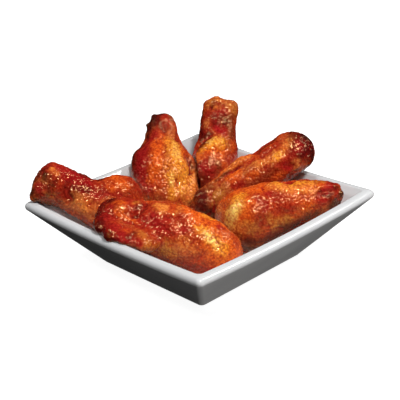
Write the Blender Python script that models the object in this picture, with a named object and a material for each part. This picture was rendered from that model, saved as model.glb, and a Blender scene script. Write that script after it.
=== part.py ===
"""A square porcelain dish heaped with six roast chicken wings.

Metres, +Z up. The origin is the centre of the dish's flat underside.
The dish's sides run along X and Y.
Each wing is one closed loft along its bone, from the meaty butt (t = 0) to the knuckle (t = 1).
Where two pieces would meet, the softer one is pressed back to a small gap, as cooked meat settles.
"""

import math

import bmesh
import bpy
from mathutils import Matrix, Vector
from mathutils.bvhtree import BVHTree

MM = 0.001

# Dish: outer sides at the rim and the base, heights and walls
RIM_SIDE = 160 * MM
BASE_SIDE = 92 * MM
CORNER_HEIGHT = 44.4 * MM
EDGE_DIP = 2.2 * MM  # how far the rim sinks between two corners
RIM_WIDTH = 6.2 * MM
RIM_OUTER_ROUND = 3.0 * MM
RIM_INNER_ROUND = 1.2 * MM
FLOOR_THICKNESS = 6 * MM
FLOOR_SIDE = 86 * MM
FLOOR_ROUND = 6 * MM
FOOT_ROUND = 1.5 * MM
CORNER_RADIUS = 3 * MM  # of the plan's corners
CORNER_STEPS = 4
SIDE_STEPS = 8

# Wing mesh
RING_POINTS = 28
WING_RINGS = 24
LUMPS_ROUND = 3
LUMP_DEPTH = 0.035  # of the half width
LUMP_TWIST = 5.0  # how far the lumps wind round from butt to tip, in radians
END_RING_SHARE = 0.9  # how far the end rings stand off the bone's ends, in ring steps

# How the wings settle
CONTACT_GAP = 1.0 * MM
PRESS_ROUNDS = 12
UPWARD = 0.05  # least rise of a normal that faces up


def clear_scene():
    for obj in list(bpy.data.objects):
        bpy.data.objects.remove(obj)


def collection(name):
    made = bpy.data.collections.new(name)
    bpy.context.scene.collection.children.link(made)
    return made


def material(name, colour, roughness, coat=0.0):
    made = bpy.data.materials.new(name)
    made.use_nodes = True
    shader = made.node_tree.nodes["Principled BSDF"]
    shader.inputs["Base Color"].default_value = (*colour, 1)
    shader.inputs["Roughness"].default_value = roughness
    shader.inputs["Metallic"].default_value = 0.0
    shader.inputs["Coat Weight"].default_value = coat
    return made


def loft(name, rings, finish, into):
    """One closed solid through rings of equal point counts, its two ends closed by flat faces."""
    bm = bmesh.new()
    loops = [[bm.verts.new(point) for point in ring] for ring in rings]
    count = len(loops[0])
    for low, high in zip(loops, loops[1:]):
        for i in range(count):
            j = (i + 1) % count
            bm.faces.new((low[i], low[j], high[j], high[i]))
    bm.faces.new(loops[0])
    bm.faces.new(loops[-1])
    bmesh.ops.recalc_face_normals(bm, faces=bm.faces)
    mesh = bpy.data.meshes.new(name)
    bm.to_mesh(mesh)
    bm.free()
    mesh.shade_smooth()
    mesh.materials.append(finish)
    obj = bpy.data.objects.new(name, mesh)
    into.objects.link(obj)
    return obj


# ---------------------------------------------------------------- dish


def rounded_square(half, height, radius):
    """Points round a square with rounded corners.

    Each side dips between its corners in step with its height.
    """
    straight = half - radius
    points = []
    for quarter in range(4):
        turn = Matrix.Rotation(quarter * math.pi / 2, 3, "Z")
        corner = Vector((straight, straight, 0))
        for step in range(CORNER_STEPS + 1):
            angle = math.pi / 2 * step / CORNER_STEPS
            out = Vector((math.cos(angle), math.sin(angle), 0))
            points.append(turn @ (corner + radius * out))
        for step in range(1, SIDE_STEPS):
            along = straight * (1 - 2 * step / SIDE_STEPS)
            points.append(turn @ Vector((along, half, 0)))
    rise = height / CORNER_HEIGHT
    for point in points:
        off_corner = min(abs(point.x), abs(point.y)) / half
        point.z = height - EDGE_DIP * rise * (1 - off_corner**2)
    return points


def arc(centre_half, centre_z, radius, start_deg, end_deg, steps):
    """(half side, height) along a quarter round of the dish's section."""
    for step in range(steps + 1):
        angle = math.radians(start_deg + (end_deg - start_deg) * step / steps)
        yield centre_half + radius * math.cos(angle), centre_z + radius * math.sin(angle)


def dish_section():
    """(half side, height) from the underside's edge, over the rim and down to the floor."""
    rim = RIM_SIDE / 2
    base = BASE_SIDE / 2
    inner = rim - RIM_WIDTH
    floor = FLOOR_SIDE / 2
    outer_centre = rim - RIM_OUTER_ROUND
    inner_centre = inner + RIM_INNER_ROUND
    wall = math.atan2(CORNER_HEIGHT - FLOOR_THICKNESS, inner - floor)
    floor_centre = floor - FLOOR_ROUND * math.tan(wall / 2)
    points = [(base - FOOT_ROUND, 0.0), (base, FOOT_ROUND)]
    points += arc(outer_centre, CORNER_HEIGHT - RIM_OUTER_ROUND, RIM_OUTER_ROUND, -20, 90, 4)
    points += arc(inner_centre, CORNER_HEIGHT - RIM_INNER_ROUND, RIM_INNER_ROUND, 90, 160, 2)
    points += arc(
        floor_centre, FLOOR_THICKNESS + FLOOR_ROUND, FLOOR_ROUND, math.degrees(wall) - 90, -90, 3
    )
    return points


def make_dish(finish, into):
    rings = []
    for half, height in dish_section():
        ring = rounded_square(half, height, CORNER_RADIUS)
        if height <= 0.0:
            for point in ring:
                point.z = 0.0
        rings.append(ring)
    return loft("dish", rings, finish, into)


# ---------------------------------------------------------------- wings


def smooth_value(values, share):
    """The value at share, on a smooth curve through values spaced evenly from 0 to 1."""
    last = len(values) - 1
    place = min(max(share * last, 0.0), last - 1e-9)
    i = int(place)
    s = place - i
    low, high = values[i], values[i + 1]
    low_slope = (high - values[i - 1]) / 2 if i > 0 else high - low
    high_slope = (values[i + 2] - low) / 2 if i + 2 <= last else high - low
    return (
        (2 * s**3 - 3 * s**2 + 1) * low
        + (s**3 - 2 * s**2 + s) * low_slope
        + (3 * s**2 - 2 * s**3) * high
        + (s**3 - s**2) * high_slope
    )


def rounded_end(t, butt_round, tip_round):
    """1 along the bone, falling to 0 as half an ellipse over each end's share of the length."""
    if t < butt_round:
        return math.sqrt(max(0.0, 1 - ((butt_round - t) / butt_round) ** 2))
    if t > 1 - tip_round:
        return math.sqrt(max(0.0, 1 - ((t - 1 + tip_round) / tip_round) ** 2))
    return 1.0


def make_wing(
    name, finish, into, butt, tip, roll, widths, drifts, flatness, butt_round, tip_round
):
    """A wing about the bone from butt to tip, with its wide way turned about it by roll degrees.

    widths are half widths and drifts are shifts along the wide way, at even steps of the bone.
    """
    butt = Vector(butt) * MM
    tip = Vector(tip) * MM
    turn = math.radians(roll)
    ahead = (tip - butt).normalized()
    level = ahead.cross(Vector((0, 0, 1))).normalized()
    wide = Matrix.Rotation(turn, 3, ahead) @ level
    thick = wide.cross(ahead)
    rings = []
    for ring in range(WING_RINGS):
        share = (ring + END_RING_SHARE) / (WING_RINGS - 1 + 2 * END_RING_SHARE)
        t = (1 - math.cos(math.pi * share)) / 2
        centre = butt.lerp(tip, t) + wide * smooth_value(drifts, t) * MM
        half_width = smooth_value(widths, t) * rounded_end(t, butt_round, tip_round) * MM
        points = []
        for step in range(RING_POINTS):
            angle = 2 * math.pi * step / RING_POINTS
            across = wide * math.cos(angle) + thick * flatness * math.sin(angle)
            lump = 1 + LUMP_DEPTH * math.sin(LUMPS_ROUND * angle + LUMP_TWIST * t + turn)
            points.append(centre + half_width * lump * across)
        rings.append(points)
    return loft(name, rings, finish, into)


def surface_tree(firm, facing_up=False):
    """The faces of firm to press against: all of them, or only those that face upwards."""
    faces = [p.vertices for p in firm.data.polygons if p.normal.z > UPWARD or not facing_up]
    return BVHTree.FromPolygons([v.co for v in firm.data.vertices], faces)


def press_back(soft, tree, gap):
    """Moves soft's points and faces that lie within gap of the tree's faces, or behind them, out."""
    mesh = soft.data
    corners = [[vertex.index] for vertex in mesh.vertices]
    corners += [polygon.vertices for polygon in mesh.polygons]
    for indices in corners:
        middle = sum((mesh.vertices[i].co for i in indices), Vector()) / len(indices)
        near, normal, _, _ = tree.find_nearest(middle)
        height = (middle - near).dot(normal)
        if height < gap:
            for i in indices:
                mesh.vertices[i].co += normal * (gap - height)


def settle(dish, wings):
    """Each wing gives way to the inside of the dish and to the wings before it."""
    dish_tree = surface_tree(dish, facing_up=True)
    for _ in range(PRESS_ROUNDS):
        for i, wing in enumerate(wings):
            press_back(wing, dish_tree, CONTACT_GAP)
            for firm in wings[:i]:
                press_back(wing, surface_tree(firm), CONTACT_GAP)


# Places, widths and drifts are in millimetres, and roll is in degrees.
# A wing further down the list gives way to those before it.
WINGS = {
    "wing_right": dict(
        butt=(11, 3, 25), tip=(66.5, 64.5, 44.5), roll=-115,
        widths=(19, 22, 18, 13, 7.5), drifts=(1, -2, 0.5, -0.5, -0.5),
        flatness=1.0, butt_round=0.25, tip_round=0.14,
    ),
    "wing_front": dict(
        butt=(50, -15, 22), tip=(-30, -60, 46), roll=118,
        widths=(19, 17.5, 19, 15, 15), drifts=(0, 0.5, -1.5, 0.5, 1),
        flatness=0.95, butt_round=0.25, tip_round=0.15,
    ),
    "wing_left": dict(
        butt=(-39, -15, 24), tip=(-78.5, -70.5, 58), roll=112,
        widths=(12.5, 20, 14.5, 12.5, 16), drifts=(-3.5, 0, 2.5, 0, 1),
        flatness=0.75, butt_round=0.25, tip_round=0.12,
    ),
    "wing_back_right": dict(
        butt=(-15, 19, 23.5), tip=(26, 82, 64), roll=-117,
        widths=(10, 13.5, 14.5, 14.5, 12.5), drifts=(-2, -1, -1, 0, -1),
        flatness=0.95, butt_round=0.2, tip_round=0.15,
    ),
    "wing_back_left": dict(
        butt=(-35, 5, 16), tip=(-75, 41, 71), roll=177,
        widths=(20, 20, 22, 13, 8), drifts=(-1, 0, 1.5, 1, 1),
        flatness=0.7, butt_round=0.25, tip_round=0.12,
    ),
    "wing_back": dict(
        butt=(-30, 32, 23), tip=(-57, 86, 72.5), roll=-161,
        widths=(16, 16.5, 14.5, 12, 13.5), drifts=(0, -1.5, -2, 1, 2.5),
        flatness=0.9, butt_round=0.25, tip_round=0.12,
    ),
}


def main():
    clear_scene()
    serving = collection("chicken_wings_serving")
    porcelain = material("white_porcelain", (0.83, 0.83, 0.82), 0.18, coat=0.4)
    skin = material("roast_skin", (0.62, 0.19, 0.035), 0.38, coat=0.3)
    dish = make_dish(porcelain, serving)
    wings = [make_wing(name, skin, serving, **sizes) for name, sizes in WINGS.items()]
    settle(dish, wings)


main()
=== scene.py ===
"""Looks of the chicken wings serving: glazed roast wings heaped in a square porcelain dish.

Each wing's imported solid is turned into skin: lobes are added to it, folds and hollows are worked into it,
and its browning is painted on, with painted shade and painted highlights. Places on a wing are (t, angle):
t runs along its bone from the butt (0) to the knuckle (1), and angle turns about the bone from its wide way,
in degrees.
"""

import math

import bmesh
import bpy
import numpy as np
from mathutils import Matrix, Vector
from mathutils.bvhtree import BVHTree


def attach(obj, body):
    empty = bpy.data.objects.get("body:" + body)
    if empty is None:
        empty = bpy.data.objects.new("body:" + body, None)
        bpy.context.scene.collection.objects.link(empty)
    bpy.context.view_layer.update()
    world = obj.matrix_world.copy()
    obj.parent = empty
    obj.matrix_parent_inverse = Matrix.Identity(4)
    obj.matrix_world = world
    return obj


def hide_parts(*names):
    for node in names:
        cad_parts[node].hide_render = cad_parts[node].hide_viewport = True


MM = 0.001

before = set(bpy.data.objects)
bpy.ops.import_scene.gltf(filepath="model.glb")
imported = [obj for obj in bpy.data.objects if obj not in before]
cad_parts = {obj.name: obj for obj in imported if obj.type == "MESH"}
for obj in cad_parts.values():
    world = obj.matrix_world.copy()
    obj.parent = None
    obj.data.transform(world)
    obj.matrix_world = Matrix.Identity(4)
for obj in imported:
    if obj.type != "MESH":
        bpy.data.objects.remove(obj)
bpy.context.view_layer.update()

# ---------------------------------------------------------------- view, light and floor

VIEW_AZIMUTH = 45.91
VIEW_ELEVATION = 24.72
VIEW_ROLL = 2.44
VIEW_DISTANCE = 0.7272
VIEW_TARGET = (0.0004, 0.0004, 0.0415)
VIEW_LENS = 102.2
LIGHT_DISTANCE = 1.0

# The cove: its flat part, the round that turns it upright, and its top, in metres
COVE_FLAT = 1.5
COVE_ROUND = 1.0
COVE_TOP = 3.0
COVE_STEPS = 12
COVE_SIDES = 64


def direction(azimuth, elevation):
    """The way from the serving out to an azimuth from -Y towards +X, and an elevation, in degrees."""
    a = math.radians(azimuth)
    e = math.radians(elevation)
    return Vector((math.sin(a) * math.cos(e), -math.cos(a) * math.cos(e), math.sin(e)))


def look(back):
    return (-back).to_track_quat("-Z", "Y")


def make_camera():
    back = direction(VIEW_AZIMUTH, VIEW_ELEVATION)
    data = bpy.data.cameras.new("view")
    data.lens = VIEW_LENS
    data.clip_start = 0.01
    camera = bpy.data.objects.new("view", data)
    camera.location = Vector(VIEW_TARGET) + back * VIEW_DISTANCE
    camera.rotation_mode = "QUATERNION"
    roll = Matrix.Rotation(-math.radians(VIEW_ROLL), 3, "Z").to_quaternion()
    camera.rotation_quaternion = look(back) @ roll
    bpy.context.scene.collection.objects.link(camera)
    bpy.context.scene.camera = camera


def softbox(name, azimuth, elevation, size, power, colour=(1, 1, 1), mirrored=True):
    """A rectangular light that the camera doesn't see. One that isn't mirrored leaves no highlight."""
    back = direction(azimuth, elevation)
    data = bpy.data.lights.new(name, "AREA")
    data.shape = "RECTANGLE"
    data.size, data.size_y = size
    data.energy = power
    data.color = colour
    light = bpy.data.objects.new(name, data)
    light.location = Vector(VIEW_TARGET) + back * LIGHT_DISTANCE
    light.rotation_mode = "QUATERNION"
    light.rotation_quaternion = look(back)
    light.visible_camera = False
    light.visible_glossy = mirrored
    bpy.context.scene.collection.objects.link(light)


# Greys of the surroundings, from straight below (0) to straight overhead (1)
WORLD_GREYS = ((0.0, 0.06), (0.5, 0.05), (0.72, 0.05), (0.88, 0.28), (1.0, 0.5))


def make_world():
    """Studio surroundings: dim below and at eye level, bright overhead."""
    world = bpy.data.worlds.new("studio")
    world.use_nodes = True
    tree = world.node_tree
    back = tree.nodes["Background"]
    coords = tree.nodes.new("ShaderNodeTexCoord")
    split = tree.nodes.new("ShaderNodeSeparateXYZ")
    height = tree.nodes.new("ShaderNodeMapRange")
    ramp = tree.nodes.new("ShaderNodeValToRGB")
    height.inputs["From Min"].default_value = -1.0
    height.inputs["From Max"].default_value = 1.0
    for place, _ in WORLD_GREYS[1:-1]:
        ramp.color_ramp.elements.new(place)
    for element, (_, grey) in zip(ramp.color_ramp.elements, WORLD_GREYS):
        element.color = (grey, grey, grey, 1)
    tree.links.new(coords.outputs["Generated"], split.inputs[0])
    tree.links.new(split.outputs["Z"], height.inputs["Value"])
    tree.links.new(height.outputs["Result"], ramp.inputs["Fac"])
    tree.links.new(ramp.outputs["Color"], back.inputs["Color"])
    back.inputs["Strength"].default_value = 1.0
    world.cycles_visibility.glossy = False
    bpy.context.scene.world = world


def make_cove():
    """A pale floor that curves up all round, seen by the camera but left out of the reflections."""
    profile = [(COVE_FLAT, 0.0)]
    for step in range(1, COVE_STEPS + 1):
        turn = math.pi / 2 * step / COVE_STEPS
        profile.append((COVE_FLAT + COVE_ROUND * math.sin(turn), COVE_ROUND * (1 - math.cos(turn))))
    profile.append((COVE_FLAT + COVE_ROUND, COVE_TOP))
    bm = bmesh.new()
    middle = bm.verts.new((0, 0, 0))
    rings = []
    for radius, height in profile:
        ring = []
        for i in range(COVE_SIDES):
            turn = 2 * math.pi * i / COVE_SIDES
            ring.append(bm.verts.new((radius * math.cos(turn), radius * math.sin(turn), height)))
        rings.append(ring)
    for i in range(COVE_SIDES):
        j = (i + 1) % COVE_SIDES
        bm.faces.new((middle, rings[0][i], rings[0][j]))
        for low, high in zip(rings, rings[1:]):
            bm.faces.new((low[i], high[i], high[j], low[j]))
    mesh = bpy.data.meshes.new("cove")
    bm.to_mesh(mesh)
    bm.free()
    mesh.shade_smooth()
    paint = bpy.data.materials.new("pale_floor")
    paint.use_nodes = True
    shader = paint.node_tree.nodes["Principled BSDF"]
    shader.inputs["Base Color"].default_value = (0.4, 0.4, 0.4, 1)
    shader.inputs["Roughness"].default_value = 0.9
    shader.inputs["Specular IOR Level"].default_value = 0.0
    shader.inputs["Emission Color"].default_value = (1, 1, 1, 1)
    shader.inputs["Emission Strength"].default_value = 0.92
    mesh.materials.append(paint)
    cove = bpy.data.objects.new("cove", mesh)
    bpy.context.scene.collection.objects.link(cove)
    cove.visible_diffuse = False
    cove.visible_glossy = False
    cove.visible_transmission = False
    cove.visible_shadow = False


# ---------------------------------------------------------------- mesh helpers


def new_object(name, mesh, finish):
    mesh.materials.clear()
    mesh.materials.append(finish)
    mesh.shade_smooth()
    obj = bpy.data.objects.new(name, mesh)
    bpy.context.scene.collection.objects.link(obj)
    return obj


def with_modifier(mesh, kind, **settings):
    """The mesh after one modifier."""
    obj = bpy.data.objects.new("work", mesh)
    bpy.context.scene.collection.objects.link(obj)
    modifier = obj.modifiers.new("work", kind)
    for key, value in settings.items():
        setattr(modifier, key, value)
    graph = bpy.context.evaluated_depsgraph_get()
    made = bpy.data.meshes.new_from_object(obj.evaluated_get(graph))
    bpy.data.objects.remove(obj)
    bpy.data.meshes.remove(mesh)
    return made


def points_of(mesh):
    values = np.empty(len(mesh.vertices) * 3, np.float32)
    mesh.vertices.foreach_get("co", values)
    return values.reshape(-1, 3).astype(float)


def normals_of(mesh):
    values = np.empty(len(mesh.vertices) * 3, np.float32)
    mesh.vertex_normals.foreach_get("vector", values)
    return values.reshape(-1, 3).astype(float)


def move_points(mesh, points):
    mesh.vertices.foreach_set("co", points.astype(np.float32).ravel())
    mesh.update()


def lattice(cells, seed):
    """A random number from -1 to 1 for each whole-numbered cell, the same for the same seed."""
    mixed = cells[..., 0] * 73856093 ^ cells[..., 1] * 19349663 ^ cells[..., 2] * 83492791
    mixed = (mixed + seed * 2654435761) & 0xFFFFFFFF
    mixed = (mixed ^ (mixed >> 16)) * 0x45D9F3B & 0xFFFFFFFF
    mixed = (mixed ^ (mixed >> 16)) * 0x45D9F3B & 0xFFFFFFFF
    mixed = mixed ^ (mixed >> 16)
    return mixed / 0x7FFFFFFF - 1.0


def noise(points, size, seed):
    """Smooth noise from -1 to 1 whose lumps are about size across."""
    place = points / size
    low = np.floor(place).astype(np.int64)
    part = place - low
    part = part * part * (3 - 2 * part)
    total = np.zeros(len(points))
    for corner in range(8):
        step = np.array([corner & 1, corner >> 1 & 1, corner >> 2 & 1])
        weight = np.prod(np.where(step, part, 1 - part), axis=1)
        total += weight * lattice(low + step, seed)
    return total


def pimples(points, size, seed):
    """Round bumps about size apart, in random places: 1 at the top of each and 0 between them."""
    place = points / size
    low = np.floor(place).astype(np.int64)
    nearest = np.full(len(points), 9.0)
    for corner in range(27):
        cell = low + np.array([corner % 3, corner // 3 % 3, corner // 9]) - 1
        spot = np.stack([lattice(cell, seed + axis) for axis in range(3)], axis=1)
        nearest = np.minimum(nearest, np.linalg.norm(cell + 0.5 + 0.4 * spot - place, axis=1))
    return np.clip(1 - (nearest / 0.75) ** 2, 0, 1)


def creases(points, size, seed):
    """Thin winding lines about size apart: 1 along each line and 0 away from it."""
    return np.clip(1 - 4 * np.abs(noise(points, size, seed)), 0, 1)


def patches(points, size, seed, level, contrast):
    """Soft patches from 0 to 1, with level as their middle value."""
    return np.clip(level + contrast * noise(points, size, seed), 0, 1)


# ---------------------------------------------------------------- materials


def make_material(name):
    made = bpy.data.materials.new(name)
    made.use_nodes = True
    tree = made.node_tree
    return made, tree, tree.nodes["Principled BSDF"]


def add_noise(tree, scale, detail, roughness=0.5):
    """Solid noise in the serving's own metres, so that it holds still on every piece."""
    coords = tree.nodes.new("ShaderNodeTexCoord")
    node = tree.nodes.new("ShaderNodeTexNoise")
    node.inputs["Scale"].default_value = scale
    node.inputs["Detail"].default_value = detail
    node.inputs["Roughness"].default_value = roughness
    tree.links.new(coords.outputs["Object"], node.inputs["Vector"])
    return node


def map_range(tree, value, from_min, from_max, to_min, to_max):
    node = tree.nodes.new("ShaderNodeMapRange")
    node.inputs["From Min"].default_value = from_min
    node.inputs["From Max"].default_value = from_max
    node.inputs["To Min"].default_value = to_min
    node.inputs["To Max"].default_value = to_max
    tree.links.new(value, node.inputs["Value"])
    return node.outputs["Result"]


def add_math(tree, operation, *values):
    """A Math node fed by sockets or plain numbers."""
    node = tree.nodes.new("ShaderNodeMath")
    node.operation = operation
    for socket, value in zip(node.inputs, values):
        if isinstance(value, float):
            socket.default_value = value
        else:
            tree.links.new(value, socket)
    return node.outputs[0]


def add_ramp(tree, value, start, end):
    """The colour that runs from start to end as value goes from 0 to 1."""
    node = tree.nodes.new("ShaderNodeValToRGB")
    node.color_ramp.elements[0].color = (*start, 1)
    node.color_ramp.elements[1].color = (*end, 1)
    tree.links.new(value, node.inputs["Fac"])
    return node.outputs["Color"]


def add_bump(tree, height, strength, distance):
    node = tree.nodes.new("ShaderNodeBump")
    node.inputs["Strength"].default_value = strength
    node.inputs["Distance"].default_value = distance
    tree.links.new(height, node.inputs["Height"])
    return node.outputs["Normal"]


def add_mix(tree, blend, factor, a, b):
    node = tree.nodes.new("ShaderNodeMix")
    node.data_type = "RGBA"
    node.blend_type = blend
    node.inputs["Factor"].default_value = factor
    tree.links.new(a, node.inputs["A"])
    tree.links.new(b, node.inputs["B"])
    return node.outputs["Result"]


PORCELAIN_DARK = (0.66, 0.67, 0.68)
PORCELAIN_LIGHT = (0.70, 0.70, 0.70)
PORCELAIN_WAVE = 0.6 * MM


def make_porcelain():
    """White glaze, a little uneven in tone, gloss and level."""
    made, tree, shader = make_material("porcelain")
    tone = add_noise(tree, 25, 3).outputs["Fac"]
    wave = add_noise(tree, 60, 2).outputs["Fac"]
    roughness = map_range(tree, tone, 0.3, 0.7, 0.14, 0.22)
    tree.links.new(add_ramp(tree, tone, PORCELAIN_DARK, PORCELAIN_LIGHT), shader.inputs["Base Color"])
    tree.links.new(add_bump(tree, wave, 0.06, PORCELAIN_WAVE), shader.inputs["Normal"])
    tree.links.new(roughness, shader.inputs["Roughness"])
    shader.inputs["Coat Weight"].default_value = 0.3
    shader.inputs["Coat Roughness"].default_value = 0.08
    return made


# Pores in a metre of skin, their depth, and the colours that the paint is multiplied by in and between them
PORES_PER_METRE = 700
PORE_DEPTH = 0.15 * MM
PORE_SWAY = 0.0009
PORE_DARK = (0.76, 0.50, 0.50)
PORE_LIGHT = (1.22, 1.60, 1.52)
GREASE_TINT = (1.0, 0.6, 0.26, 1)


def make_skin():
    """Glazed roast skin: the browning, painted shade and painted highlights on each wing, with pores and
    gloss.
    Charred skin and skin painted in shade are duller.
    """
    made, tree, shader = make_material("glazed_skin")
    paint = tree.nodes.new("ShaderNodeAttribute")
    paint.attribute_name = "browning_and_painted_light"
    coords = tree.nodes.new("ShaderNodeTexCoord")
    sway = add_noise(tree, 500, 2)
    pores = tree.nodes.new("ShaderNodeTexVoronoi")
    pores.feature = "SMOOTH_F1"
    pores.inputs["Scale"].default_value = PORES_PER_METRE
    pores.inputs["Smoothness"].default_value = 0.4
    swayed = add_mix(tree, "LINEAR_LIGHT", PORE_SWAY, coords.outputs["Object"], sway.outputs["Color"])
    tree.links.new(swayed, pores.inputs["Vector"])
    domes = map_range(tree, pores.outputs["Distance"], 0.15, 0.75, 1.0, 0.0)
    grain = add_noise(tree, PORES_PER_METRE, 0)
    relief = add_math(tree, "MULTIPLY_ADD", grain.outputs["Fac"], 0.5, domes)
    shade = add_ramp(tree, map_range(tree, relief, 0.2, 1.2, 0.0, 1.0), PORE_DARK, PORE_LIGHT)
    colour = add_mix(tree, "MULTIPLY", 1.0, paint.outputs["Color"], shade)
    gloss = map_range(tree, add_noise(tree, 220, 3).outputs["Fac"], 0.35, 0.65, 0.06, 0.14)
    dullness_of_dark_paint = map_range(tree, paint.outputs["Fac"], 0.01, 0.06, 0.24, 0.0)
    tree.links.new(colour, shader.inputs["Base Color"])
    tree.links.new(add_bump(tree, relief, 1.0, PORE_DEPTH), shader.inputs["Normal"])
    tree.links.new(add_math(tree, "ADD", gloss, dullness_of_dark_paint), shader.inputs["Roughness"])
    shader.inputs["IOR"].default_value = 1.6
    shader.inputs["Specular IOR Level"].default_value = 0.68
    shader.inputs["Specular Tint"].default_value = GREASE_TINT
    return made


# ---------------------------------------------------------------- dish

RIM_SIDE = 160 * MM
BASE_SIDE = 92 * MM
CORNER_HEIGHT = 44.4 * MM
EDGE_DIP = 2.2 * MM
RIM_WIDTH = 6.2 * MM
RIM_OUTER_ROUND = 3.0 * MM
RIM_INNER_ROUND = 1.2 * MM
FLOOR_THICKNESS = 6 * MM
FLOOR_SIDE = 86 * MM
FLOOR_ROUND = 6 * MM
FOOT_ROUND = 1.5 * MM
CORNER_RADIUS = 3 * MM
CORNER_STEPS = 10
SIDE_STEPS = 24


def rounded_square(half, height, radius):
    """Points round a square with rounded corners. Each side dips between its corners."""
    straight = half - radius
    points = []
    for quarter in range(4):
        turn = Matrix.Rotation(quarter * math.pi / 2, 3, "Z")
        corner = Vector((straight, straight, 0))
        for step in range(CORNER_STEPS + 1):
            angle = math.pi / 2 * step / CORNER_STEPS
            out = Vector((math.cos(angle), math.sin(angle), 0))
            points.append(turn @ (corner + radius * out))
        for step in range(1, SIDE_STEPS):
            along = straight * (1 - 2 * step / SIDE_STEPS)
            points.append(turn @ Vector((along, half, 0)))
    rise = max(height, 0) / CORNER_HEIGHT
    for point in points:
        off_corner = min(abs(point.x), abs(point.y)) / half
        point.z = height - EDGE_DIP * rise * (1 - off_corner**2)
    return points


def arc(centre_half, centre_z, radius, start_deg, end_deg, steps):
    """(half side, height) along a quarter round of the dish's section."""
    for step in range(steps + 1):
        angle = math.radians(start_deg + (end_deg - start_deg) * step / steps)
        yield centre_half + radius * math.cos(angle), centre_z + radius * math.sin(angle)


def straight_run(start, end, steps):
    for step in range(1, steps):
        part = step / steps
        yield tuple(a + (b - a) * part for a, b in zip(start, end))


def dish_section():
    """(half side, height) from the middle of the underside, over the rim and down to the floor."""
    rim = RIM_SIDE / 2
    base = BASE_SIDE / 2
    inner = rim - RIM_WIDTH
    floor = FLOOR_SIDE / 2
    wall = math.atan2(CORNER_HEIGHT - FLOOR_THICKNESS, inner - floor)
    floor_centre = floor - FLOOR_ROUND * math.tan(wall / 2)
    foot = [(base / 2, 0.0), (base - FOOT_ROUND, 0.0)]
    foot += arc(base - FOOT_ROUND, FOOT_ROUND, FOOT_ROUND, -75, -30, 3)
    over = list(arc(rim - RIM_OUTER_ROUND, CORNER_HEIGHT - RIM_OUTER_ROUND, RIM_OUTER_ROUND, -42, 90, 12))
    inside = list(
        arc(inner + RIM_INNER_ROUND, CORNER_HEIGHT - RIM_INNER_ROUND, RIM_INNER_ROUND, 90, 140, 5)
    )
    bottom = list(
        arc(floor_centre, FLOOR_THICKNESS + FLOOR_ROUND, FLOOR_ROUND, math.degrees(wall) - 90, -90, 8)
    )
    section = foot
    section += straight_run(foot[-1], over[0], 6)
    section += over
    section += inside
    section += straight_run(inside[-1], bottom[0], 6)
    section += bottom
    section.append((floor / 2, FLOOR_THICKNESS))
    return section


def make_dish(finish):
    bm = bmesh.new()
    loops = []
    for half, height in dish_section():
        ring = rounded_square(half, height, CORNER_RADIUS)
        if height <= 0:
            for point in ring:
                point.z = 0.0
        loops.append([bm.verts.new(point) for point in ring])
    count = len(loops[0])
    for low, high in zip(loops, loops[1:]):
        for i in range(count):
            j = (i + 1) % count
            bm.faces.new((low[i], low[j], high[j], high[i]))
    bm.faces.new(loops[0])
    bm.faces.new(loops[-1])
    bmesh.ops.recalc_face_normals(bm, faces=bm.faces)
    mesh = bpy.data.meshes.new("porcelain_dish")
    bm.to_mesh(mesh)
    bm.free()
    dish = new_object("porcelain_dish", mesh, finish)
    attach(dish, "root")
    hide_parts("dish")
    return dish


# ---------------------------------------------------------------- wings

ROUGH_VOXEL = 0.87 * MM
PRESSED_GAP = 0.15 * MM
DEEPEST_PRESS = 8 * MM

# Relief of the skin: how far apart each kind is, and how far it rises or sinks
LUMPS = ((10 * MM, 0.9 * MM), (5 * MM, 0.45 * MM))
GOOSEBUMP_SIZE = 1.7 * MM
GOOSEBUMP_HEIGHT = 0.36 * MM
BLISTER_SIZE = 3.4 * MM
BLISTER_HEIGHT = 0.2 * MM
RIPPLE_SIZE = 2.6 * MM
RIPPLE_HEIGHT = 0.2 * MM
FOLD_SIZE = 9 * MM
FOLD_DEPTH = 0.45 * MM
WRINKLE_SIZE = 4 * MM
WRINKLE_DEPTH = 0.2 * MM

# A tint's ragged edge: how ragged at which size, with the seed's offset, and how sharp it is
TINT_RAGGED = ((0.45, 5 * MM, 10), (0.30, 2 * MM, 40), (0.15, 1.1 * MM, 80))
TINT_REACH = 0.95
TINT_SHARPNESS = 4.5

# How near a neighbour the skin is shaded by it
SHADED_WITHIN = 3 * MM
DARKEST_WITHIN = 1.8 * MM

# Pigments of the browning, of the painted highlights and of the painted shade, as linear colours
PIGMENTS = {
    "base": (0.54, 0.050, 0.011),
    "orange": (0.84, 0.112, 0.012),
    # Golden roast colour, also laid as a painted highlight
    "gold_and_painted_highlight": (0.94, 0.29, 0.024),
    # Painted highlight
    "painted_highlight_honey": (0.96, 0.46, 0.09),
    # Brightest core of a painted highlight
    "painted_highlight_core": (1.0, 0.66, 0.18),
    "pale": (0.88, 0.225, 0.04),
    "tan": (0.62, 0.15, 0.036),
    "olive": (0.60, 0.16, 0.024),
    "red": (0.37, 0.018, 0.009),
    "crimson": (0.40, 0.010, 0.012),
    "brown": (0.27, 0.045, 0.014),
    "maroon": (0.10, 0.004, 0.004),
    "umber": (0.08, 0.018, 0.009),
    "char": (0.026, 0.003, 0.003),
}


class Bone:
    """A wing's own frame."""

    def __init__(self, butt, tip, roll):
        self.butt = Vector(butt) * MM
        self.tip = Vector(tip) * MM
        self.ahead = (self.tip - self.butt).normalized()
        level = self.ahead.cross(Vector((0, 0, 1))).normalized()
        self.wide = Matrix.Rotation(math.radians(roll), 3, self.ahead) @ level
        self.thick = self.wide.cross(self.ahead)

    def out(self, angle):
        a = math.radians(angle)
        return self.wide * math.cos(a) + self.thick * math.sin(a)

    def middle(self, t):
        return self.butt.lerp(self.tip, t)


def on_surface(tree, bone, t, angle):
    """The place on the wing's outside at (t, angle)."""
    out = bone.out(angle)
    start = bone.middle(t) + out * 60 * MM
    hit = tree.ray_cast(start, -out)[0]
    return hit if hit is not None else tree.find_nearest(bone.middle(t) + out * 10 * MM)[0]


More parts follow.
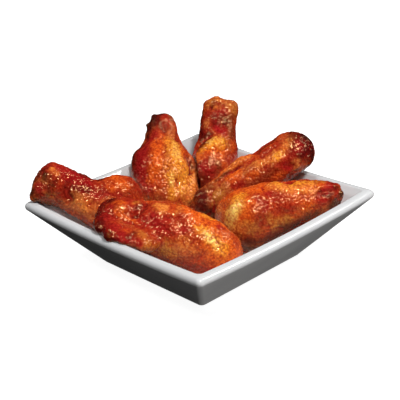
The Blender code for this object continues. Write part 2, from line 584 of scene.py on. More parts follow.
def hollows(mesh, reach):
    """How far each point lies below the skin about it, evened out over reach steps."""
    points = points_of(mesh)
    ends = np.empty(len(mesh.edges) * 2, np.int32)
    mesh.edges.foreach_get("vertices", ends)
    a, b = ends.reshape(-1, 2).T
    count = np.bincount(np.concatenate((a, b)), minlength=len(points))[:, None]
    even = points.copy()
    for _ in range(reach):
        total = np.zeros_like(even)
        for axis in range(3):
            total[:, axis] = np.bincount(a, even[b, axis], len(points))
            total[:, axis] += np.bincount(b, even[a, axis], len(points))
        even = total / count
    return np.einsum("ij,ij->i", even - points, normals_of(mesh))


def distance_to_path(points, path):
    """Each point's distance to the line through path's places."""
    path = np.array(path)
    if len(path) == 1:
        return np.linalg.norm(points - path[0], axis=1)
    best = np.full(len(points), np.inf)
    for a, b in zip(path, path[1:]):
        run = b - a
        share = np.clip((points - a) @ run / (run @ run), 0, 1)
        best = np.minimum(best, np.linalg.norm(points - a - share[:, None] * run, axis=1))
    return best


def add_lobe(bm, bone, place, out_by, radii):
    """An egg-shaped lump: radii along the bone, round it and outwards, in millimetres."""
    t, angle = place
    out = bone.out(angle)
    across = out.cross(bone.ahead)
    axes = Matrix((bone.ahead, across, out)).transposed().to_4x4()
    where = Matrix.Translation(bone.middle(t) + out * out_by * MM)
    size = Matrix.Diagonal((*(r * MM for r in radii), 1))
    bmesh.ops.create_icosphere(bm, subdivisions=3, radius=1, matrix=where @ axes @ size)


def tree_of(mesh):
    polygons = [tuple(face.vertices) for face in mesh.polygons]
    return BVHTree.FromPolygons([vertex.co for vertex in mesh.vertices], polygons)


def joined_tree(meshes):
    points = []
    polygons = []
    for mesh in meshes:
        polygons += [tuple(len(points) + i for i in face.vertices) for face in mesh.polygons]
        points += [vertex.co.copy() for vertex in mesh.vertices]
    return BVHTree.FromPolygons(points, polygons)


def press_back(mesh, solids):
    """Moves the points that lie inside another piece out to its surface."""
    points = points_of(mesh)
    for box_low, box_high, tree in solids:
        near = np.all((points > box_low) & (points < box_high), axis=1)
        for i in np.flatnonzero(near):
            place = Vector(points[i])
            hit, normal, _, away = tree.find_nearest(place)
            if (place - hit).dot(normal) < 0 and away < DEEPEST_PRESS:
                points[i] = hit + normal * PRESSED_GAP
    move_points(mesh, points)


def rough_wing(name, looks, bone):
    """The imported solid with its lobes, strokes and lumps."""
    bm = bmesh.new()
    bm.from_mesh(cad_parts[name].data)
    bmesh.ops.remove_doubles(bm, verts=bm.verts, dist=0.001 * MM)
    tree = BVHTree.FromBMesh(bm)
    for place, out_by, radii in looks["lobes"]:
        add_lobe(bm, bone, place, out_by, radii)
    mesh = bpy.data.meshes.new(name + "_skin")
    bm.to_mesh(mesh)
    bm.free()
    mesh = with_modifier(mesh, "REMESH", mode="VOXEL", voxel_size=ROUGH_VOXEL)
    mesh = with_modifier(mesh, "SMOOTH", factor=0.5, iterations=8)
    points = points_of(mesh)
    rise = np.zeros(len(points))
    for path, width, height in looks["strokes"]:
        places = [on_surface(tree, bone, t, angle) for t, angle in path]
        away = distance_to_path(points, places) / (width * MM)
        rise += height * MM * np.exp(-(away**2))
    for number, (size, height) in enumerate(LUMPS):
        rise += height * noise(points, size, looks["seed"] + number)
    move_points(mesh, points + normals_of(mesh) * rise[:, None])
    mesh = with_modifier(mesh, "SMOOTH", factor=0.5, iterations=2)
    return with_modifier(mesh, "SUBSURF", levels=1, render_levels=1)


def goosebumps_of(points, seed):
    """Goosebumps from 0 to 1, stronger in some patches than in others."""
    strength = np.clip(0.85 + 0.6 * noise(points, 12 * MM, seed + 8), 0.5, 1)
    return strength * pimples(points, GOOSEBUMP_SIZE, seed + 2)


def fine_relief(points, goosebumps, seed):
    """How far each point of the skin rises over the rough wing."""
    blistered = patches(points, 15 * MM, seed + 95, 0.4, 1)
    folded = patches(points, 14 * MM, seed + 7, 0.3, 1.5)
    wrinkled = patches(points, 10 * MM, seed + 61, 0.4, 1.5)
    rise = GOOSEBUMP_HEIGHT * goosebumps
    rise += BLISTER_HEIGHT * pimples(points, BLISTER_SIZE, seed + 9) * blistered
    rise += RIPPLE_HEIGHT * noise(points, RIPPLE_SIZE, seed + 3)
    rise -= FOLD_DEPTH * creases(points, FOLD_SIZE, seed + 6) * folded
    rise -= WRINKLE_DEPTH * creases(points, WRINKLE_SIZE, seed + 60) * wrinkled
    return rise


def make_wing(name, looks, finish, solids):
    """One wing's skin, pressed back from the pieces in solids, to which it is added."""
    bone = Bone(*looks["bone"])
    seed = looks["seed"]
    mesh = rough_wing(name, looks, bone)
    points = points_of(mesh)
    goosebumps = goosebumps_of(points, seed)
    move_points(mesh, points + normals_of(mesh) * fine_relief(points, goosebumps, seed)[:, None])
    press_back(mesh, solids)
    points = points_of(mesh)
    tree = tree_of(mesh)
    solids.append((points.min(axis=0), points.max(axis=0), tree))
    neighbours = joined_tree([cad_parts[other].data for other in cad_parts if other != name])
    paint_browning_and_light(mesh, tree, bone, looks["tints"], seed, goosebumps, neighbours)
    skin = new_object(name + "_skin", mesh, finish)
    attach(skin, "root")
    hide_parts(name)
    return skin


def paint_browning_and_light(mesh, tree, bone, tints, seed, goosebumps, neighbours):
    """Lays the pigments, painted highlights and painted shade over one another,
    and keeps them as the mesh's colour attribute.
    """
    points = points_of(mesh)
    colour = np.tile(PIGMENTS["base"], (len(points), 1))

    def lay(pigment, weight):
        weight = np.clip(weight, 0, 1)[:, None]
        colour[:] = colour * (1 - weight) + np.array(PIGMENTS[pigment]) * weight

    blotch = noise(points, 7 * MM, seed + 4) * 0.6 + noise(points, 3 * MM, seed + 5) * 0.4
    lay("red", 0.8 * np.clip(blotch * 2 - 0.2, 0, 1))
    lay("orange", 0.8 * np.clip(-blotch * 2 - 0.2, 0, 1))
    patch = noise(points, 15 * MM, seed + 91)
    lay("crimson", 0.6 * np.clip(patch * 2.5 - 0.4, 0, 1))
    lay("tan", 0.6 * np.clip(-patch * 2.5 - 0.4, 0, 1))
    # The tints lay pigments, painted highlights and painted shade
    for number, (pigment, path, width, strength) in enumerate(tints):
        places = [on_surface(tree, bone, t, angle) for t, angle in path]
        away = distance_to_path(points, places) / (width * MM)
        for ragged, size, offset in TINT_RAGGED:
            away += ragged * noise(points, size, seed + offset + number)
        lay(pigment, strength / (1 + np.exp((away - TINT_REACH) * TINT_SHARPNESS)))
    colour *= (0.86 + 0.2 * goosebumps)[:, None]
    gap = np.array([neighbours.find_nearest(Vector(point))[3] for point in points])
    # Painted shade: maroon and umber where the skin lies close to another piece
    lay("maroon", 0.75 * np.clip(1 - gap / SHADED_WITHIN, 0, 1) ** 1.5)
    lay("umber", 0.8 * np.clip(1 - gap / DARKEST_WITHIN, 0, 1))
    # Painted shade: browner where the skin faces down
    painted_underside_shade = -normals_of(mesh)[:, 2] + 0.25 * noise(points, 6 * MM, seed + 90)
    lay("brown", 0.6 * np.clip(painted_underside_shade * 1.4 - 0.2, 0, 1))
    # Painted shade: redder and darker in the skin's hollows and creases
    painted_crease_shade = hollows(mesh, 20) / MM
    painted_hollow_shade = hollows(mesh, 100) / MM
    lay("red", 0.6 * np.clip(painted_hollow_shade * 1.6, 0, 1))
    lay("red", 0.8 * np.clip(painted_crease_shade * 4, 0, 1))
    lay("maroon", 0.7 * np.clip(painted_crease_shade * 4 - 1, 0, 1))
    values = np.ones((len(points), 4), np.float32)
    values[:, :3] = colour
    layer = mesh.color_attributes.new("browning_and_painted_light", "FLOAT_COLOR", "POINT")
    layer.data.foreach_set("color", values.ravel())


# Each wing's own looks, with every path a row of places:
# bone: its butt and tip in millimetres, and its roll about the line between them in degrees
# lobes: lumps added to the solid, as place, millimetres out from the bone, and radii in millimetres
# strokes: ridges, or grooves where the height is below 0, as path, width and height in millimetres
# tints: pigments laid over one another, painted highlights and painted shade among them,
# as pigment, path, half width in millimetres, and strength
WINGS = {}
WINGS["wing_front"] = dict(
    bone=((50, -15, 22), (-30, -60, 46), 118),
    seed=11,
    lobes=(
        ((0.83, 236), 4, (9, 9, 12)),
        ((0.88, 292), 13, (8, 6, 13)),
        ((0.79, 291), 18, (8.5, 6.5, 14.5)),
        ((0.7, 290), 20, (9, 6.5, 15)),
        ((0.6, 290), 20, (10, 6, 13)),
        ((0.93, 275), 2.5, (6, 8, 9)),
    ),
    strokes=(
        (((0.7, 185), (0.7, 215), (0.72, 245)), 2.4, -2.6),
        (((0.72, 245), (0.63, 258), (0.5, 258)), 2.4, -1.0),
        (((0.93, 300), (0.9, 320)), 3.0, -1.6),
        (((0.96, 205), (1.0, 240)), 4.0, -1.5),
        (((0.6, 208), (0.58, 220)), 4.5, 0.9),
        (((0.5, 262), (0.42, 266)), 1.0, -0.6),
        (((0.8, 305), (0.66, 300)), 2.0, -0.8),
        (((0.84, 262), (0.62, 262)), 1.6, 0.5),
        (((0.55, 232), (0.48, 235)), 2.2, -0.8),
        (((0.16, 205), (0.12, 195)), 2.2, -1.2),
        (((0.32, 186), (0.2, 184)), 3.5, 1.2),
        (((0.46, 232), (0.4, 242)), 3.5, -0.9),
        (((0.37, 262), (0.34, 285)), 1.6, -0.5),
        (((0.27, 300), (0.22, 285)), 1.6, -0.5),
    ),
    tints=(
        ("red", ((0.75, 265), (0.55, 265), (0.42, 285)), 7, 0.5),
        ("orange", ((0.42, 200), (0.25, 215), (0.1, 240)), 9, 0.95),
        ("orange", ((0.12, 285), (0.03, 250)), 9, 0.95),
        ("olive", ((0.7, 290), (0.58, 300), (0.48, 295)), 5, 0.85),
        ("pale", ((0.5, 300), (0.42, 305)), 4, 0.75),
        ("pale", ((0.37, 265), (0.35, 280)), 3.0, 0.4),
        ("pale", ((0.3, 275), (0.28, 285)), 3, 0.5),
        ("olive", ((0.62, 278), (0.55, 285)), 3, 0.6),
        ("orange", ((0.8, 258), (0.68, 262)), 2, 0.7),
        ("crimson", ((0.66, 250), (0.58, 258), (0.5, 262)), 3, 0.9),
        ("crimson", ((0.6, 238), (0.52, 235)), 3.5, 0.8),
        ("red", ((0.57, 185), (0.42, 185)), 2.5, 0.7),
        ("pale", ((0.62, 208), (0.57, 216)), 3.2, 1.0),
        ("pale", ((0.47, 208), (0.46, 218)), 2.4, 0.8),
        ("olive", ((0.75, 205),), 3.0, 0.8),
        ("gold_and_painted_highlight", ((0.28, 236), (0.24, 240), (0.2, 248), (0.12, 262)), 4.0, 0.95),
        ("red", ((0.44, 225), (0.4, 236), (0.36, 248)), 3.8, 0.9),
        ("gold_and_painted_highlight", ((0.3, 190), (0.2, 183)), 3, 0.7),
        ("painted_highlight_honey", ((0.26, 238), (0.16, 252)), 2.6, 0.75),
        ("painted_highlight_core", ((0.24, 240), (0.19, 250)), 1.4, 0.7),
        ("crimson", ((0.18, 210), (0.15, 205)), 2.4, 0.9),
        ("red", ((0.05, 225), (0.08, 205)), 3, 0.6),
        ("maroon", ((0.7, 195), (0.69, 225), (0.71, 242)), 2.2, 0.95),
        ("red", ((0.77, 225), (0.75, 245)), 2.6, 0.8),
        ("orange", ((0.87, 225), (0.83, 245)), 4.0, 0.9),
        ("gold_and_painted_highlight", ((0.84, 240), (0.8, 245)), 2.0, 0.3),
        ("crimson", ((0.92, 265), (0.85, 280), (0.75, 283)), 6, 0.9),
        ("maroon", ((0.93, 205), (0.99, 240), (0.97, 280)), 5.0, 0.95),
        ("maroon", ((0.98, 285), (0.93, 292), (0.86, 296)), 7.0, 0.95),
        ("char", ((0.97, 300), (0.86, 304)), 3, 0.8),
        ("crimson", ((0.78, 292), (0.7, 292)), 6, 0.85),
        ("pale", ((0.81, 287), (0.8, 290)), 1.4, 0.9),
        ("maroon", ((0.8, 298), (0.68, 297), (0.58, 300)), 3, 0.85),
        ("brown", ((0.75, 325), (0.68, 330)), 3, 0.8),
        ("crimson", ((0.36, 315), (0.28, 318)), 2.2, 0.95),
        ("maroon", ((0.6, 330), (0.4, 328)), 2.2, 0.8),
        ("red", ((0.2, 315), (0.15, 300)), 4, 0.7),
        ("red", ((0.4, 318), (0.34, 306), (0.22, 300)), 3.4, 0.75),
        ("olive", ((0.48, 300), (0.43, 298)), 4, 0.9),
        ("crimson", ((0.37, 334), (0.16, 318)), 3, 0.8),
        ("maroon", ((0.82, 290), (0.72, 298), (0.62, 298)), 4, 0.9),
        ("crimson", ((0.68, 284), (0.62, 286)), 3, 0.9),
        ("crimson", ((0.73, 222), (0.72, 210)), 3, 0.7),
        ("red", ((0.86, 240), (0.8, 240)), 3.4, 0.75),
        ("char", ((0.63, 297), (0.58, 297)), 3.2, 0.85),
        ("maroon", ((0.73, 224), (0.72, 214)), 2.6, 0.85),
        ("char", ((0.37, 334), (0.33, 332)), 2.4, 0.6),
        ("red", ((0.14, 226), (0.12, 222)), 3.0, 0.5),
        ("maroon", ((0.68, 283), (0.66, 279)), 2.2, 0.65),
        ("red", ((0.27, 250), (0.3, 258)), 2.4, 0.7),
        ("crimson", ((0.43, 254), (0.4, 250)), 2.6, 0.6),
    ),
)
WINGS["wing_right"] = dict(
    bone=((11, 3, 25), (66.5, 64.5, 44.5), -115),
    seed=23,
    lobes=(
        ((0.95, 322), 4.0, (4.5, 4, 4.5)),
        ((0.95, 262), 3.0, (5, 4, 4)),
    ),
    strokes=(
        (((0.6, 352), (0.62, 340)), 2.2, -2.0),
        (((0.42, 330), (0.43, 312), (0.48, 300)), 2.6, -1.4),
        (((0.9, 292), (0.83, 290)), 2.2, -2.4),
        (((1.0, 285),), 6.0, -2.6),
        (((0.2, 298), (0.16, 285)), 8.0, 0.8),
        (((0.37, 298), (0.41, 288), (0.4, 276)), 1.8, -1.0),
        (((0.33, 268), (0.34, 250)), 1.2, -0.8),
        (((0.37, 270), (0.38, 255)), 1.2, -0.6),
        (((0.52, 330), (0.55, 320)), 4.0, 0.9),
        (((0.68, 330), (0.75, 325)), 4.0, 0.9),
        (((0.8, 325), (0.79, 305)), 1.4, -0.7),
        (((0.75, 262), (0.82, 262)), 3.0, 0.6),
        (((0.62, 201), (0.5, 195)), 3.4, -1.4),
        (((0.28, 304), (0.42, 304)), 4.5, 1.3),
        (((0.68, 307), (0.78, 305)), 3.5, 0.9),
        (((1.0, 240), (0.97, 345)), 3.5, -1.5),
    ),
    tints=(
        ("red", ((0.4, 290), (0.55, 280)), 9, 0.55),
        ("red", ((0.6, 290), (0.75, 265)), 5, 0.35),
        ("orange", ((0.12, 330), (0.3, 330), (0.42, 335)), 6, 0.9),
        ("orange", ((0.3, 295), (0.25, 272)), 5, 0.8),
        ("orange", ((0.64, 295), (0.72, 290)), 4, 0.7),
        ("tan", ((0.05, 310), (0.08, 325)), 4, 0.8),
        ("olive", ((0.24, 258), (0.28, 252)), 4, 0.85),
        ("pale", ((0.16, 262), (0.18, 250)), 3.4, 0.85),
        ("crimson", ((0.36, 298), (0.41, 288), (0.4, 276)), 2.2, 0.8),
        ("red", ((0.62, 292), (0.76, 292)), 3.6, 0.7),
        ("olive", ((0.45, 240), (0.52, 245)), 4, 0.85),
        ("brown", ((0.35, 262), (0.4, 265)), 4, 0.5),
        ("red", ((0.33, 256), (0.36, 255)), 2, 0.8),
        ("red", ((0.42, 325), (0.44, 305), (0.5, 298)), 3.2, 0.85),
        ("crimson", ((0.43, 315), (0.46, 308)), 1.8, 0.7),
        ("pale", ((0.5, 330), (0.57, 318), (0.62, 308)), 4.5, 0.95),
        ("gold_and_painted_highlight", ((0.52, 335), (0.55, 328)), 2.6, 0.8),
        ("gold_and_painted_highlight", ((0.63, 325), (0.7, 328), (0.76, 325)), 3.2, 0.9),
        ("pale", ((0.7, 310), (0.78, 305)), 3.5, 0.8),
        ("gold_and_painted_highlight", ((0.24, 312), (0.2, 300), (0.15, 285)), 4.5, 0.95),
        ("painted_highlight_honey", ((0.2, 296), (0.14, 283), (0.12, 271)), 3.8, 0.95),
        ("painted_highlight_core", ((0.18, 292), (0.15, 285), (0.15, 277)), 2.2, 0.5),
        ("orange", ((0.42, 326), (0.36, 318)), 3, 0.8),
        ("olive", ((0.8, 335), (0.86, 335)), 2.5, 0.8),
        ("orange", ((0.84, 312), (0.82, 305)), 2.5, 0.6),
        ("crimson", ((0.82, 278), (0.84, 265), (0.8, 255)), 3.6, 0.85),
        ("orange", ((0.68, 262), (0.73, 255)), 3.0, 0.7),
        ("maroon", ((0.84, 290), (0.91, 290)), 2.6, 0.95),
        ("red", ((0.92, 325), (0.97, 320)), 4, 0.8),
        ("tan", ((0.97, 275),), 2, 0.7),
        ("maroon", ((0.22, 228), (0.35, 222), (0.55, 225), (0.75, 232)), 3.4, 0.85),
        ("char", ((0.2, 212), (0.4, 212), (0.6, 215)), 2.6, 0.8),
        ("char", ((0.88, 232), (0.97, 250)), 3.0, 0.95),
        ("crimson", ((0.6, 348), (0.63, 342)), 2.4, 0.95),
        ("red", ((0.92, 345), (0.97, 335)), 2.2, 0.8),
        ("maroon", ((0.93, 300), (0.88, 285), (0.83, 288)), 3.4, 0.95),
        ("char", ((0.95, 193), (0.93, 215)), 3, 0.9),
        ("maroon", ((0.87, 277), (0.88, 270)), 2.4, 0.7),
        ("char", ((0.17, 209), (0.22, 214)), 2.6, 0.7),
        ("red", ((0.35, 284), (0.32, 282)), 2.4, 0.6),
        ("olive", ((0.42, 255), (0.46, 250)), 3.2, 0.75),
        ("maroon", ((0.2, 207), (0.12, 215)), 4, 0.9),
        ("crimson", ((0.9, 312), (0.86, 300)), 3, 0.8),
    ),
)
WINGS["wing_left"] = dict(
    bone=((-39, -15, 24), (-78.5, -70.5, 58), 112),
    seed=37,
    lobes=(
        ((0.95, 350), 10, (3.4, 2.2, 4.4)),
        ((0.85, 350), 9, (7, 3, 5.2)),
        ((0.9, 192), 8, (5, 5, 4.5)),
        ((0.86, 345), 8, (9, 3, 3)),
    ),
    strokes=(
        (((1.0, 190), (0.99, 205)), 4.5, -1.4),
        (((0.99, 225), (1.0, 275)), 5.5, -3.0),
        (((0.9, 182), (0.75, 182), (0.6, 182)), 4.0, 0.9),
        (((0.33, 190), (0.2, 190), (0.1, 195)), 7.0, 1.6),
        (((0.72, 246), (0.71, 258)), 2.2, -1.8),
        (((0.73, 272), (0.69, 298)), 2.4, -2.0),
        (((0.86, 278), (0.83, 305)), 1.6, -1.0),
        (((0.85, 250), (0.83, 262)), 2.0, -0.9),
        (((0.53, 195), (0.5, 215), (0.47, 235)), 4.0, -1.2),
        (((0.33, 215), (0.25, 210)), 5.0, 1.0),
        (((0.78, 222), (0.66, 232)), 2.0, -0.8),
        (((0.84, 186), (0.82, 190)), 1.2, -1.0),
        (((0.74, 186), (0.72, 190)), 1.2, -1.0),
        (((0.63, 186), (0.62, 190)), 1.2, -0.9),
        (((0.6, 300), (0.5, 310)), 4.0, 0.6),
    ),
    tints=(
        ("tan", ((0.66, 260), (0.58, 260), (0.5, 268)), 4, 0.7),
        ("tan", ((0.62, 295), (0.5, 315), (0.44, 320)), 6, 0.8),
        ("pale", ((0.6, 300), (0.54, 305)), 3.4, 0.8),
        ("brown", ((0.93, 250), (0.9, 275), (0.92, 300)), 6, 0.9),
        ("umber", ((1.0, 235), (1.0, 265), (1.0, 300)), 2.4, 0.9),
        ("tan", ((0.95, 262), (0.94, 280)), 3, 0.8),
        ("olive", ((0.86, 300), (0.84, 312)), 3, 0.8),
        ("brown", ((0.93, 322), (0.8, 335)), 4, 0.8),
        ("tan", ((0.85, 325), (0.7, 325)), 3, 0.5),
        ("red", ((0.93, 195), (0.9, 205)), 4, 0.9),
        ("pale", ((0.88, 218), (0.86, 222)), 2.4, 0.9),
        ("tan", ((0.79, 203), (0.76, 207)), 2.4, 0.9),
        ("red", ((0.8, 190), (0.65, 195), (0.55, 205)), 4, 0.9),
        ("crimson", ((0.76, 222), (0.66, 218), (0.56, 212)), 3.4, 0.9),
        ("maroon", ((0.7, 186), (0.6, 188), (0.45, 188)), 2.4, 0.8),
        ("red", ((0.5, 215), (0.46, 228)), 3.4, 0.9),
        ("crimson", ((0.41, 236), (0.33, 236), (0.28, 238)), 3.2, 0.9),
        ("orange", ((0.35, 205), (0.25, 210), (0.18, 222)), 4, 0.6),
        ("crimson", ((0.7, 248), (0.6, 244), (0.54, 244)), 4, 0.95),
        ("tan", ((0.9, 300), (0.86, 298)), 2.4, 0.8),
        ("crimson", ((0.49, 252), (0.45, 258)), 3, 0.9),
        ("orange", ((0.39, 226), (0.36, 228)), 2.4, 0.8),
        ("orange", ((0.2, 222), (0.16, 222)), 3, 0.6),
        ("red", ((0.22, 200), (0.12, 215), (0.2, 235)), 5, 0.8),
        ("maroon", ((0.72, 246), (0.71, 258)), 2.6, 0.9),
        ("maroon", ((0.73, 275), (0.7, 292), (0.67, 300)), 2.8, 0.95),
        ("maroon", ((0.85, 255), (0.84, 268)), 1.8, 0.7),
        ("red", ((0.8, 285), (0.78, 300)), 3, 0.8),
        ("maroon", ((0.88, 285), (0.86, 295)), 2.2, 0.9),
        ("crimson", ((0.95, 300), (0.9, 325), (0.78, 330)), 4, 0.85),
        ("crimson", ((0.84, 205), (0.72, 205), (0.6, 212)), 4, 0.85),
        ("crimson", ((0.5, 335), (0.4, 338)), 2.6, 0.9),
        ("char", ((1.02, 338), (0.9, 350), (0.75, 352)), 2.6, 0.95),
        ("umber", ((0.95, 182), (0.99, 200)), 2.4, 0.8),
        ("maroon", ((0.68, 252), (0.64, 250)), 2.4, 0.65),
        ("maroon", ((0.46, 236), (0.43, 237)), 2.6, 0.45),
        ("maroon", ((0.59, 242), (0.55, 240)), 2.8, 0.75),
    ),
)
WINGS["wing_back_right"] = dict(
    bone=((-15, 19, 23.5), (26, 82, 64), -117),
    seed=41,
    lobes=(
        ((0.87, 258), 3.5, (8, 8, 8.5)),
        ((0.06, 345), 6, (9, 6.5, 7)),
        ((0.03, 300), 4.5, (8, 7.5, 7.5)),
        ((0.18, 350), 9, (12, 6, 5)),
        ((0.3, 350), 10, (12, 6, 5)),
        ((0.43, 350), 11, (12, 5.5, 5.5)),
        ((0.7, 200), 9, (5, 4, 4)),
        # The last three lumps fill the gap at the butt; the dark paint on them stands for shade
        ((-0.06, 330), 2, (6, 6, 6)),
        ((-0.03, 160), 7, (8, 8, 6)),
        ((0.02, 190), 7, (8, 8, 6)),
    ),
    strokes=(
        (((0.2, 335), (0.3, 331), (0.42, 325)), 1.6, -1.8),
        (((0.57, 350), (0.58, 338)), 2.6, -1.0),
        (((0.73, 248), (0.75, 238)), 2.4, -1.8),
        (((1.0, 235), (1.0, 275)), 7.0, -2.6),
        (((0.0, 312), (0.02, 335)), 4.0, -1.2),
        (((0.66, 292), (0.68, 285)), 1.4, -0.5),
        (((0.6, 315), (0.75, 318)), 1.8, -0.6),
        (((0.45, 298), (0.6, 296)), 3.0, 0.6),
        (((0.79, 238), (0.78, 228)), 1.6, 0.8),
        (((0.72, 348), (0.6, 349)), 3.0, -0.8),
    ),
    tints=(
        ("brown", ((0.4, 262), (0.6, 258)), 4, 0.8),
        ("tan", ((0.12, 290), (0.22, 292)), 5, 0.8),
        ("olive", ((0.1, 282), (0.18, 282)), 3, 0.7),
        ("orange", ((0.2, 355), (0.35, 352), (0.48, 348)), 5, 0.95),
        ("pale", ((0.3, 345), (0.42, 340), (0.5, 338)), 3.0, 0.65),
        ("orange", ((0.3, 305), (0.36, 300)), 3, 0.6),
        ("tan", ((0.42, 298), (0.5, 292)), 4, 0.85),
        ("red", ((0.46, 280), (0.55, 275)), 3, 0.6),
        ("red", ((0.5, 290), (0.65, 272)), 4, 0.5),
        ("pale", ((0.55, 297), (0.62, 294), (0.68, 292)), 3.2, 0.8),
        ("gold_and_painted_highlight", ((0.68, 286), (0.74, 288)), 2.4, 0.8),
        ("orange", ((0.24, 335), (0.3, 318), (0.38, 315)), 3, 0.8),
        ("pale", ((0.8, 302), (0.84, 310)), 3.2, 0.8),
        ("red", ((0.62, 315), (0.74, 322)), 3.6, 0.55),
        ("brown", ((0.86, 322), (0.9, 310)), 3, 0.8),
        ("maroon", ((0.2, 336), (0.3, 332), (0.4, 326)), 1.4, 0.85),
        ("tan", ((0.13, 320), (0.12, 295)), 3, 0.8),
        ("brown", ((0.12, 335), (0.09, 315), (0.07, 300)), 4.5, 0.8),
        ("olive", ((0.13, 300), (0.17, 290)), 3, 0.7),
        # Painted shade: the butt's lower end and its lumps fade to dark maroon
        ("maroon", ((0.03, 342), (0.02, 305), (0.02, 260), (0.06, 240)), 3.6, 0.95),
        ("maroon", ((0.02, 318), (0.04, 247)), 3, 0.85),
        ("maroon", ((-0.06, 340), (0.02, 325), (-0.03, 260), (0.0, 200)), 6, 0.97),
        ("red", ((0.3, 278), (0.36, 274)), 2.4, 0.8),
        ("crimson", ((0.72, 250), (0.74, 240)), 3.0, 0.95),
        ("maroon", ((0.87, 262), (0.93, 275), (0.92, 240)), 7.5, 0.97),
        ("red", ((0.8, 262), (0.78, 270)), 3, 0.6),
        ("maroon", ((0.95, 320), (0.9, 340)), 4, 0.9),
        ("maroon", ((0.88, 290), (0.92, 265), (0.9, 240)), 5.5, 0.8),
        ("maroon", ((0.97, 335), (0.97, 300), (0.95, 215)), 5, 0.97),
        ("char", ((1.0, 310), (0.98, 330)), 2.4, 0.8),
        ("char", ((1.0, 215), (0.93, 205)), 2.4, 0.8),
        ("tan", ((0.8, 245), (0.77, 228)), 2.2, 0.9),
        ("crimson", ((0.7, 205), (0.66, 205)), 3, 0.9),
        ("umber", ((0.6, 345), (0.75, 347)), 1.6, 0.7),
        ("char", ((0.9, 197), (0.84, 194)), 2.6, 0.75),
        ("crimson", ((0.88, 284), (0.86, 270)), 3.0, 0.6),
        ("char", ((0.06, 239), (0.04, 230)), 2.6, 0.7),
        ("orange", ((0.48, 281), (0.43, 281)), 2.8, 0.7),
    ),
)
WINGS["wing_back_left"] = dict(
    bone=((-35, 5, 16), (-75, 41, 71), 177),
    seed=53,
    lobes=(
        ((0.9, 335), 6, (7, 3, 4)),
        ((0.88, 347), 9, (2.6, 1.8, 3.4)),
        ((0.885, 350), 10.5, (1.4, 1.2, 3)),
        ((0.82, 345), 7, (5, 3, 3)),
    ),
    strokes=(
        (((0.86, 268), (0.79, 266)), 2.2, -2.2),
        (((0.72, 340),), 2.6, -1.2),
        (((0.52, 205), (0.44, 205), (0.36, 203)), 2.2, -2.4),
        (((0.15, 268), (0.55, 270)), 2.4, -0.5),
        (((0.15, 254), (0.6, 245)), 3.6, 0.7),
        (((0.62, 352), (0.45, 352), (0.25, 350)), 5.0, 1.4),
        (((1.0, 275),), 5.0, -1.6),
        (((0.75, 192), (0.62, 190)), 4.0, -2.0),
        (((0.7, 180), (0.6, 178)), 3.2, -1.8),
        (((0.7, 216), (0.68, 222)), 1.6, -0.8),
        (((0.5, 312), (0.62, 310)), 2.0, -0.6),
    ),
    tints=(
        ("orange", ((0.7, 285), (0.5, 285), (0.35, 280)), 7, 0.85),
        ("olive", ((0.7, 248), (0.6, 258), (0.35, 268)), 4, 0.7),
        ("gold_and_painted_highlight", ((0.62, 238), (0.5, 238), (0.4, 230)), 4.5, 0.9),
        ("gold_and_painted_highlight", ((0.35, 215), (0.2, 220)), 6, 0.85),
        ("gold_and_painted_highlight", ((0.32, 256), (0.15, 256)), 3.0, 0.9),
        ("painted_highlight_honey", ((0.63, 236), (0.52, 240)), 2.6, 0.7),
        ("painted_highlight_honey", ((0.34, 253), (0.24, 255)), 1.8, 0.6),
        ("tan", ((0.8, 230), (0.74, 235)), 3, 0.7),
        ("red", ((0.3, 288), (0.2, 305)), 5, 0.6),
        ("red", ((0.92, 265), (0.85, 295), (0.75, 305)), 5, 0.7),
        ("orange", ((0.94, 262), (0.93, 245)), 2.4, 0.6),
        ("orange", ((0.57, 300), (0.53, 303)), 2.4, 0.7),
        ("red", ((0.6, 320), (0.42, 322), (0.25, 320)), 5, 0.85),
        ("crimson", ((0.55, 330), (0.42, 335)), 4, 0.8),
        ("maroon", ((0.65, 348), (0.45, 348), (0.25, 345)), 5.5, 0.9),
        ("maroon", ((0.86, 268), (0.78, 266)), 2.4, 0.95),
        ("maroon", ((0.48, 203), (0.43, 203)), 3.0, 0.97),
        ("painted_highlight_honey", ((0.37, 201), (0.3, 202)), 2.4, 0.9),
        ("pale", ((0.1, 203), (0.06, 202)), 3, 0.8),
        ("maroon", ((0.92, 300), (0.87, 310)), 2.8, 0.85),
        ("maroon", ((0.85, 262), (0.83, 270), (0.84, 257)), 3.0, 0.8),
        ("red", ((0.53, 214), (0.5, 216)), 2.2, 0.8),
        ("red", ((0.7, 218),), 1.8, 0.8),
        ("pale", ((0.32, 203), (0.15, 205)), 4, 0.85),
        ("crimson", ((0.72, 312), (0.6, 322), (0.4, 322), (0.25, 318)), 5, 0.8),
        ("orange", ((0.67, 297), (0.64, 300)), 2.6, 0.8),
        ("orange", ((0.4, 298), (0.3, 303)), 3.2, 0.75),
        ("red", ((0.9, 250), (0.82, 240)), 3, 0.7),
        ("brown", ((0.12, 285), (0.1, 310)), 4, 0.7),
        ("char", ((0.99, 310), (0.95, 325), (0.9, 340), (0.86, 350)), 3.8, 0.95),
        ("crimson", ((0.95, 250), (0.88, 240)), 3, 0.7),
        ("maroon", ((0.82, 338), (0.74, 342)), 2.6, 0.9),
        ("umber", ((0.97, 215), (0.99, 250)), 1.8, 0.7),
        ("brown", ((0.94, 212), (0.9, 210)), 2.6, 0.75),
        ("gold_and_painted_highlight", ((0.4, 213), (0.3, 212)), 2.8, 0.7),
    ),
)
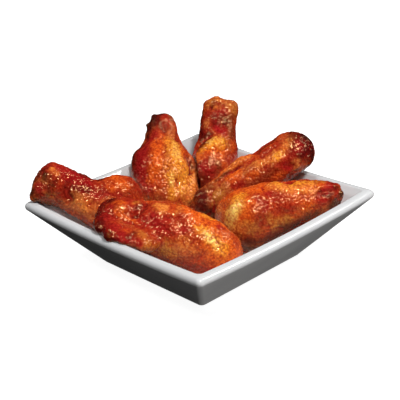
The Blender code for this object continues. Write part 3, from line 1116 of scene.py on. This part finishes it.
WINGS["wing_back"] = dict(
    bone=((-30, 32, 23), (-57, 86, 72.5), -161),
    seed=67,
    lobes=(
        ((0.95, 343), 6.5, (5, 5, 5.5)),
        ((0.92, 235), 5.5, (5.5, 6, 6)),
    ),
    strokes=(
        (((1.0, 320), (1.0, 260)), 5.0, -1.4),
        (((0.83, 320),), 1.8, -1.8),
        (((0.88, 300), (0.86, 275)), 1.8, -1.0),
        (((0.4, 338), (0.48, 318), (0.53, 295)), 2.0, -1.8),
        (((0.42, 300), (0.45, 260)), 6.0, 1.6),
        (((0.7, 300), (0.67, 260)), 4.0, -1.5),
        (((0.12, 300), (0.14, 250)), 4.5, -1.6),
        (((0.76, 262), (0.66, 258)), 3.2, -1.4),
        (((0.56, 250), (0.52, 228)), 2.0, -0.8),
    ),
    tints=(
        ("tan", ((0.96, 330), (0.92, 290), (0.92, 240)), 7, 0.9),
        ("pale", ((0.95, 320), (0.93, 300)), 3, 0.7),
        ("pale", ((0.9, 328), (0.86, 326)), 2.6, 0.7),
        ("pale", ((0.83, 300), (0.84, 290)), 2.2, 0.9),
        ("olive", ((0.88, 245), (0.84, 235)), 4, 0.8),
        ("brown", ((0.88, 310), (0.86, 280)), 2.4, 0.8),
        ("umber", ((0.83, 321),), 1.8, 0.9),
        ("red", ((0.77, 300), (0.72, 310), (0.62, 325)), 5, 0.8),
        ("maroon", ((0.73, 295), (0.66, 275)), 4.4, 0.9),
        ("crimson", ((0.78, 270), (0.68, 255), (0.62, 255)), 5, 0.9),
        ("brown", ((0.78, 232), (0.7, 228), (0.6, 226)), 3.4, 0.85),
        ("red", ((0.74, 335), (0.6, 335)), 3.4, 0.7),
        ("orange", ((0.4, 310), (0.38, 280), (0.4, 240)), 6, 0.95),
        ("gold_and_painted_highlight", ((0.38, 302), (0.44, 286), (0.5, 273), (0.5, 250)), 3.0, 0.85),
        ("painted_highlight_honey", ((0.45, 284), (0.5, 274), (0.49, 262)), 2.2, 0.75),
        ("maroon", ((0.4, 316), (0.44, 306), (0.5, 302)), 3.4, 0.9),
        ("tan", ((0.68, 322), (0.64, 322)), 2.2, 0.8),
        ("crimson", ((0.62, 275), (0.6, 258)), 3, 0.9),
        ("maroon", ((0.74, 262), (0.7, 255)), 3.4, 0.9),
        ("orange", ((0.52, 212), (0.44, 212)), 2.6, 0.8),
        ("gold_and_painted_highlight", ((0.45, 265), (0.44, 255)), 3.2, 0.8),
        ("tan", ((0.5, 232), (0.46, 228)), 2.4, 0.8),
        ("maroon", ((0.6, 340), (0.52, 325), (0.54, 300)), 2.8, 0.9),
        ("red", ((0.36, 222), (0.42, 210)), 4, 0.8),
        ("red", ((0.22, 300), (0.22, 280)), 4, 0.85),
        ("brown", ((0.25, 255), (0.2, 245)), 4, 0.85),
        ("maroon", ((0.17, 295), (0.12, 290), (0.08, 280)), 7, 0.9),
        ("red", ((0.33, 290), (0.3, 265)), 3, 0.5),
        ("crimson", ((0.22, 285), (0.2, 265)), 4, 0.75),
        ("pale", ((0.29, 314), (0.26, 312)), 3, 0.7),
        ("char", ((0.8, 356), (0.5, 356)), 2.0, 0.8),
    ),
)


def main():
    make_camera()
    make_world()
    make_cove()
    softbox("key", VIEW_AZIMUTH + 38, 62, (0.18, 0.18), 6.5)
    softbox("right", VIEW_AZIMUTH + 100, 42, (0.14, 0.14), 2.0)
    softbox("left", VIEW_AZIMUTH - 75, 48, (0.13, 0.13), 2.4)
    softbox("side", VIEW_AZIMUTH + 45, -8, (0.6, 0.4), 4.0, (1.0, 0.97, 0.95), mirrored=False)
    softbox("back", VIEW_AZIMUTH + 170, 28, (0.8, 0.2), 1.2, (1.0, 0.95, 0.88), mirrored=False)
    dish = make_dish(make_porcelain())
    skin = make_skin()
    reach = RIM_SIDE * np.array((0.5, 0.5, 1))
    solids = [(-reach, reach, tree_of(dish.data))]
    for name, looks in WINGS.items():
        make_wing(name, looks, skin, solids)
    scene = bpy.context.scene
    scene.view_settings.view_transform = "Standard"


main()
